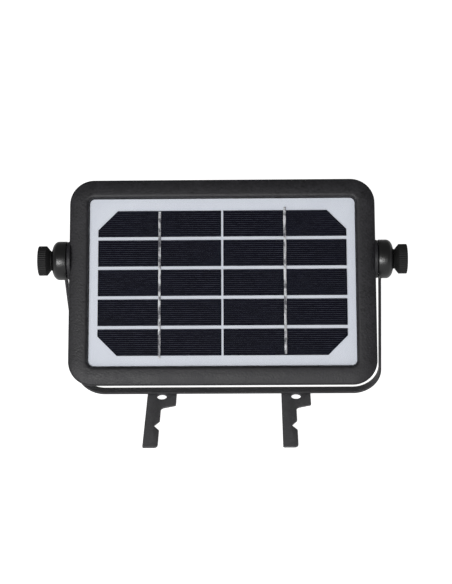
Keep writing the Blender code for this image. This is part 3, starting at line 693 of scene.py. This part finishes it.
def build_light():
    """Window, reflector tray and the board of diodes behind them."""
    lens = (0.0, LENS_Y)
    window = [rounded(LENS_HALF_W - d, LENS_HALF_H - d, LENS_CORNER - d, z, lens)
              for d, z in ((0.4, REAR + 0.2), (0.0, REAR + 0.6), (0.0, -22.6))]
    piece("window", loft(window), FINISH["lens_clear"], "head", HEAD, ["lens"])
    tray = [rounded(w, h, r, z, lens) for w, h, r, z in (
        (75.4, 41.8, 7.0, -18.9), (73.9, 40.3, 6.2, -18.9), (73.3, 39.6, 6.0, -18.6),
        (66.0, 28.0, 4.0, -9.2), (64.0, 26.0, 3.0, -9.2), (64.0, 26.0, 3.0, -8.0),
        (67.2, 29.2, 4.0, -8.0), (74.4, 40.8, 6.6, -17.7), (75.4, 41.8, 7.0, -17.7))]
    piece("reflector_tray", loft(tray, closed=True), FINISH["white_reflector"], "head", HEAD,
          ["reflector"], 30)
    build_led_board()


def build_led_board():
    """White board with surface-mount packages: a moulded frame, a bevelled well and a phosphor fill."""
    middle = middle_in(HEAD, "led_board")
    plate = [rounded(LED_BOARD_HALF_W - d, LED_BOARD_HALF_H - d, 2.0, z, (middle.x, LENS_Y), 6)
             for d, z in ((0.1, -7.7), (0.0, -7.5), (0.0, -6.1))]
    piece("led_plate", loft(plate), FINISH["led_board"], "head", HEAD, ["led_board"])
    frames, fills = bmesh.new(), bmesh.new()
    for column in range(LED_COLUMNS):
        for row in range(LED_ROWS):
            spot = (middle.x + (column - (LED_COLUMNS - 1) / 2) * LED_PITCH[0],
                    LENS_Y + (row - (LED_ROWS - 1) / 2) * LED_PITCH[1])
            body = [rounded(w, h, r, z, spot, 4) for w, h, r, z in (
                (1.75, 1.4, 0.2, -7.72), (1.75, 1.4, 0.2, -8.3), (1.68, 1.33, 0.2, -8.4),
                (1.4, 1.1, 0.45, -8.4), (1.15, 0.85, 0.4, -8.0))]
            loft(body, bm=frames)
            fill = [rounded(w, h, r, z, spot, 4) for w, h, r, z in (
                (1.12, 0.82, 0.38, -8.02), (1.33, 1.03, 0.4, -8.3), (0.8, 0.6, 0.3, -8.34))]
            loft(fill, bm=fills)
    piece("led_packages", frames, FINISH["white_reflector"], "head", HEAD, smooth=30)
    piece("led_phosphor", fills, PHOSPHOR, "head", HEAD, smooth=30)


def build_controls():
    """Mode key, indicator pipe and charging port, in the rear shell beside the window."""
    button = middle_in(HEAD, "mode_button")
    profile = [(0.2, -25.35), (1.9, -25.4), (2.3, -25.7)] + quarter((2.75, -25.7), (4.0, -24.7), 6)
    profile += [(4.0, -22.4), (4.7, -22.4), (4.7, -21.6), (1.6, -21.6), (1.6, -18.9), (0.2, -18.9)]
    piece("mode_key", turned(profile, 48, centre=button), FINISH["button_rubber"], "mode_button", HEAD,
          ["mode_button"], 40)
    pipe = middle_in(HEAD, "light_pipe")
    profile = [(0.1, -25.2), (0.9, -25.12), (1.3, -24.8), (1.3, -22.4), (2.0, -22.4), (2.0, -21.4),
               (1.3, -21.4), (1.3, -16.3), (0.1, -16.3)]
    piece("indicator_pipe", turned(profile, 28, centre=pipe), FINISH["lens_clear"], "head", HEAD,
          ["light_pipe"], 40)
    port = middle_in(HEAD, "usb_socket")
    shell = [rounded(w, h, r, z, port, 8) for w, h, r, z in (
        (3.9, 1.2, 1.1, -17.6), (3.9, 1.2, 1.1, -22.9), (4.05, 1.3, 1.2, -23.1),
        (4.35, 1.5, 1.4, -23.1), (4.5, 1.65, 1.5, -22.9), (4.5, 1.65, 1.5, -15.8))]
    piece("port_shell", loft(shell), FINISH["bright_steel"], "head", HEAD,
          ["usb_socket"], 40)
    tongue = bmesh.new()
    block(tongue, (port.x - 3.1, port.y - 0.32, -22.4), (port.x + 3.1, port.y + 0.32, -17.8))
    piece("port_tongue", tongue, FINISH["holder_plastic"], "head", HEAD)
    build_flap(port)


def build_flap(port):
    """Soft cover for the port: a thin hinge edge, a crowned lid and a lip to pull."""
    hinge, floor = port.y - 3.9, REAR + 0.1
    stations = []
    for y, thick in ((0.02, 0.18), (0.35, 0.62), (0.8, 1.0), (1.4, 1.2), (5.9, 1.2),
                     (6.4, 1.05), (6.9, 0.8), (7.4, 0.95), (7.75, 0.7)):
        half = 6.1 if y < 7.0 else 6.1 - (y - 7.0) * 1.2
        outline = ((-half, 0.0), (half, 0.0), (half, thick * 0.7), (half - 0.3, thick),
                   (-half + 0.3, thick), (-half, thick * 0.7))
        stations.append([Vector((port.x + x, hinge + y, floor + z)) for x, z in outline])
    piece("port_cover", loft(stations), FINISH["button_rubber"], "usb_flap", HEAD,
          ["usb_flap"], 40)


# ---------------------------------------------------------------- knobs and clamps

def flute(angle, z):
    """Grooves moulded into the rim of a knob, fading out at its ends."""
    if not KNOB_HEAD - 1.2 <= z <= KNOB_END - 0.15:
        return 0.0
    fade = min(1.0, (z - KNOB_HEAD + 1.2) / 1.2)
    return FLUTE_DEPTH * fade * (0.5 - 0.5 * cos(FLUTES * angle)) ** 1.5


def build_side(side, outward):
    """Cup, knob, washers, insert and stud of one side, drawn about the tilt axis."""
    axis = axis_frame(outward)
    dome = quarter((DOME_R, CUP_OUT), (CUP_R, DOME_IN), 12)
    ceiling = STRAP_HALF + STRAP_THICK / 2 + GAP
    recess = EYE_RADIUS + 2 * GAP
    cup = [(recess, CUP_IN), (CUP_R - 0.35, CUP_IN), (CUP_R - 0.1, CUP_IN + 0.1), (CUP_R, CUP_IN + 0.35)]
    cup += list(reversed(dome)) + [(6.05, CUP_OUT), (5.8, CUP_OUT - 0.2), (5.8, CUP_OUT - 1.1),
                                   (3.4, CUP_OUT - 1.1), (3.4, ceiling), (recess, ceiling)]
    cup = piece(f"cup_{side}", turned(cup, 96, closed=True), FINISH["clamp_plastic"], "stand", axis,
                [f"clamp_cup_{side}"])
    slot = bmesh.new()
    half = STRAP_WIDTH / 2 + 2 * GAP
    block(slot, (-half, -14.0, CUP_IN - 1.0), (half, -7.0, ceiling))
    cut(cup, slot)

    knob = [(0.3, BORE_END), (BORE_R, BORE_END), (BORE_R, KNOB_BASE), (6.2, KNOB_BASE),
            (6.4, KNOB_BASE + 0.15), (6.15, KNOB_BASE + 0.5), (6.1, KNOB_NECK)]
    knob += [(KNOB_R - 0.1, KNOB_HEAD - 0.1), (KNOB_R, KNOB_HEAD + 0.05)]
    knob += [(KNOB_R, KNOB_HEAD + 0.3 + i * 0.9) for i in range(6)]
    knob += [(KNOB_R - 0.05, KNOB_END - 0.4), (KNOB_R - 0.3, KNOB_END - 0.22),
             (KNOB_R - 0.75, KNOB_END - 0.14), (KNOB_R - 1.6, KNOB_END - 0.1),
             (5.2, KNOB_END), (0.3, KNOB_END)]
    piece(f"thumb_knob_{side}", turned(knob, FLUTES * 8, wave=flute), FINISH["knob_plastic"],
          f"knob_{side}_screw", axis, [f"knob_{side}"], 50)

    rings = (("washer", 5.4, 3.4, CUP_OUT - 0.8, CUP_OUT - 0.05, "bright_steel", "carrier", "knob_washer"),
             ("friction_ring", 9.0, 3.4, *FRICTION_RING, "black_rubber", None, "friction_washer"),
             ("insert", 4.4, 3.3, *INSERT, "brass", None, "thread_insert"))
    for name, outer, bore, low, high, finish, carrier, node in rings:
        profile = [(bore, low), (outer - 0.15, low), (outer, low + 0.15),
                   (outer, high - 0.15), (outer - 0.15, high), (bore, high)]
        body = f"knob_{side}_{carrier}" if carrier else "head"
        piece(f"{name}_{side}", turned(profile, 64, closed=True), FINISH[finish], body, axis,
              [f"{node}_{side}"], 40)
    piece(f"stud_{side}", threaded(*STUD), FINISH["bright_steel"], f"knob_{side}_screw", axis,
          [f"knob_stud_{side}"], 50)


def threaded(low, high, pitch=1.0, crest=3.0, depth=0.45, segments=32, per_turn=6):
    """A stud with a rolled thread, as rings whose radius follows the helix."""
    loops = []
    count = int((high - low) / pitch * per_turn)
    for step in range(count + 1):
        z = low + (high - low) * step / count
        start = min(1.0, (z - low) / 0.8)
        loop = []
        for i in range(segments):
            angle = 2 * pi * i / segments
            phase = (z / pitch - i / segments) % 1.0
            reach = (crest - depth * abs(2.0 * phase - 1.0)) * (0.86 + 0.14 * start)
            loop.append(Vector((reach * cos(angle), reach * sin(angle), z)))
        loops.append(loop)
    return loft(loops)


# ---------------------------------------------------------------- bracket

def strap_path():
    """Middle line of the right half of the strap, as (x, z, half width, sway) stations."""
    neck = acos(STRAP_WIDTH / 2 / EYE_RADIUS)
    height = PIVOT.z / MM
    stations = []
    turns = [radians(2.5 + 6.0 * i) for i in range(30)]
    for turn in [t for t in turns if t < pi / 2 + neck] + [pi / 2 + neck]:
        stations.append((STRAP_HALF, height + EYE_RADIUS * cos(turn), EYE_RADIUS * sin(turn), 0.0))
    half = STRAP_WIDTH / 2
    stations.append((STRAP_HALF, height - 14.0, half, 0.0))
    foot = PLATE_THICK + GAP + STRAP_THICK / 2
    for x, z in arc((STRAP_HALF - STRAP_CORNER, foot + STRAP_CORNER), STRAP_CORNER, 0.0, -90.0, 28):
        stations.append((x, z, half, BASE_SHIFT))
    return stations


def build_bracket():
    """Strap with softly broken edges, swept from one eye round the base to the other."""
    right = strap_path()
    path = [(x + sway, z, half) for x, z, half, sway in right]
    path += [(sway - x, z, half) for x, z, half, sway in reversed(right)]
    side = Vector((0.0, 1.0, 0.0))
    thick = STRAP_THICK / 2
    loops = []
    for i, (x, z, half) in enumerate(path):
        before, after = path[max(i - 1, 0)], path[min(i + 1, len(path) - 1)]
        along = Vector((after[0] - before[0], 0.0, after[1] - before[1])).normalized()
        normal = Vector((along.z, 0.0, -along.x))
        edge = min(0.3, half * 0.3)
        section = []
        for sn, ss in ((1, 1), (-1, 1), (-1, -1), (1, -1)):
            corner = [(thick - edge, half), (thick - edge * 0.3, half - edge * 0.3), (thick, half - edge)]
            if sn * ss > 0:
                corner.reverse()
            section += [(sn * n, ss * s) for n, s in corner]
        loops.append([Vector((x, 0.0, z)) + normal * n + side * s for n, s in section])
    strap = piece("strap", loft(loops), FINISH["strap_paint"], "stand", UPRIGHT,
                  ["bracket"], 40)
    for outward in (-1, 1):
        hole = turned([(3.4, 98.0), (3.4, 103.0)], 48)
        turn = Matrix.Translation((0.0, 0.0, PIVOT.z / MM)) @ Matrix.Rotation(outward * pi / 2, 4, 'Y')
        bmesh.ops.transform(hole, matrix=turn, verts=hole.verts)
        cut(strap, hole)


def plate_outline():
    """Foot plate from above: a wide head under the strap and a neck with a round notch."""
    rear = STRAP_WIDTH / 2
    outline = [(0.4, rear), (PLATE_HEAD - 0.4, rear), (PLATE_HEAD, rear - 0.4), (PLATE_HEAD, -14.2)]
    outline += arc((PLATE_HEAD - 1.2, -14.3), 1.2, 0.0, -72.0, 5)
    outline += arc((PLATE_NECK + 3.0, -20.6), 3.0, 106.0, 180.0, 9)
    outline += arc((PLATE_NECK - 0.6, -33.0), 0.6, 0.0, -46.0, 3)
    outline += arc((PLATE_NECK - 3.1, -38.6), 0.6, 130.0, 230.0, 7)
    outline += arc((PLATE_NECK - 0.6, -44.1), 0.6, 46.0, 0.0, 3)
    outline += arc((PLATE_NECK - 2.6, PLATE_FRONT + 2.6), 2.6, 0.0, -90.0, 10)
    outline += arc((1.0, PLATE_FRONT + 1.0), 1.0, -90.0, -180.0, 6)
    outline += [(0.0, rear - 0.4)]
    return outline


def build_foot_plates():
    for side in ("left", "right"):
        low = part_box(f"foot_plate_{side}")[0]
        frame_here = Matrix.Translation((low.x, PIVOT.y, 0.0))
        loops = [[Vector((x, y, z)) for x, y in plate_outline()] for z in (0.0, PLATE_THICK)]
        # The plates take the lighter copy of the strap paint, which is painted light for their upward faces
        plate = piece(f"foot_{side}", loft(loops), PAINTED_LIGHT_PLATE_PAINT, "stand", frame_here,
                      [f"foot_plate_{side}"])
        hole = turned([(PLATE_HOLE, -1.0), (PLATE_HOLE, 3.0)], 56, centre=(PLATE_HEAD / 2, PLATE_HOLE_Y))
        cut(plate, hole)
        bevel(plate, 0.16, segments=2, angle=60)


# ---------------------------------------------------------------- studio

def build_camera():
    """Long lens in front of and above the lamp, turned by yaw, pitch and roll."""
    camera = bpy.data.cameras.new("camera")
    camera.sensor_fit = 'VERTICAL'
    camera.sensor_height = 36.0
    camera.lens = CAMERA_LENS
    camera.clip_start = 0.01
    obj = linked("camera", camera)
    yaw = Matrix.Rotation(radians(-CAMERA_YAW), 4, 'Z')
    pitch = Matrix.Rotation(radians(90.0 + CAMERA_PITCH), 4, 'X')
    roll = Matrix.Rotation(radians(CAMERA_ROLL), 4, 'Z')
    obj.matrix_world = Matrix.Translation(CAMERA_PLACE) @ yaw @ pitch @ roll
    bpy.context.scene.camera = obj


def studio_shape(name, bm, glow):
    """A floor or backdrop that glows white in the picture without lighting the lamp."""
    mesh = bpy.data.meshes.new(name)
    bm.to_mesh(mesh)
    bm.free()
    paper = bpy.data.materials.new(name + "_paper")
    paper.use_nodes = True
    shader = paper.node_tree.nodes["Principled BSDF"]
    shader.inputs["Base Color"].default_value = (0.7, 0.7, 0.7, 1.0)
    shader.inputs["Roughness"].default_value = 0.9
    shader.inputs["Emission Color"].default_value = (1.0, 1.0, 1.0, 1.0)
    shader.inputs["Emission Strength"].default_value = glow
    mesh.materials.append(paper)
    obj = linked(name, mesh)
    obj.visible_diffuse = False
    obj.visible_glossy = False
    obj.visible_shadow = False


def build_floor():
    floor = bmesh.new()
    bmesh.ops.create_grid(floor, x_segments=1, y_segments=1, size=FLOOR_HALF)
    studio_shape("floor", floor, FLOOR_GLOW)
    backdrop = bmesh.new()
    bmesh.ops.create_uvsphere(backdrop, u_segments=48, v_segments=24, radius=BACKDROP_R)
    studio_shape("backdrop", backdrop, BACKDROP_GLOW)


def build_lights():
    """A soft surround, brighter low down than overhead, and one soft box in front."""
    # Colours shown plainly, without a film curve
    bpy.context.scene.view_settings.view_transform = 'Standard'
    world = bpy.data.worlds.new("studio")
    bpy.context.scene.world = world
    world.use_nodes = True
    nodes, links = world.node_tree.nodes, world.node_tree.links
    split = nodes.new("ShaderNodeSeparateXYZ")
    fade = nodes.new("ShaderNodeMapRange")
    for key, number in (("From Min", SKY_LOW), ("From Max", SKY_HIGH),
                        ("To Min", SKY_BELOW), ("To Max", SKY_ABOVE)):
        fade.inputs[key].default_value = number
    fade.interpolation_type = 'SMOOTHSTEP'
    links.new(nodes.new("ShaderNodeTexCoord").outputs["Generated"], split.inputs["Vector"])
    links.new(split.outputs["Z"], fade.inputs["Value"])
    links.new(fade.outputs["Result"], nodes["Background"].inputs["Strength"])
    nodes["Background"].inputs["Color"].default_value = (1.0, 1.0, 1.0, 1.0)
    light = bpy.data.lights.new("front_box", 'AREA')
    light.shape = 'RECTANGLE'
    light.size, light.size_y = FRONT_BOX_SIZE
    light.energy = FRONT_BOX_POWER
    obj = linked("front_box", light)
    towards = (PIVOT - FRONT_BOX).to_track_quat('-Z', 'Y')
    obj.matrix_world = Matrix.Translation(FRONT_BOX) @ towards.to_matrix().to_4x4()


finish_cad_nodes()
build_bezel()
build_shell()
build_seals()
build_screws()
build_panel()
build_light()
build_controls()
build_side("left", -1)
build_side("right", 1)
build_bracket()
build_foot_plates()
build_camera()
build_floor()
build_lights()
bpy.context.view_layer.update()
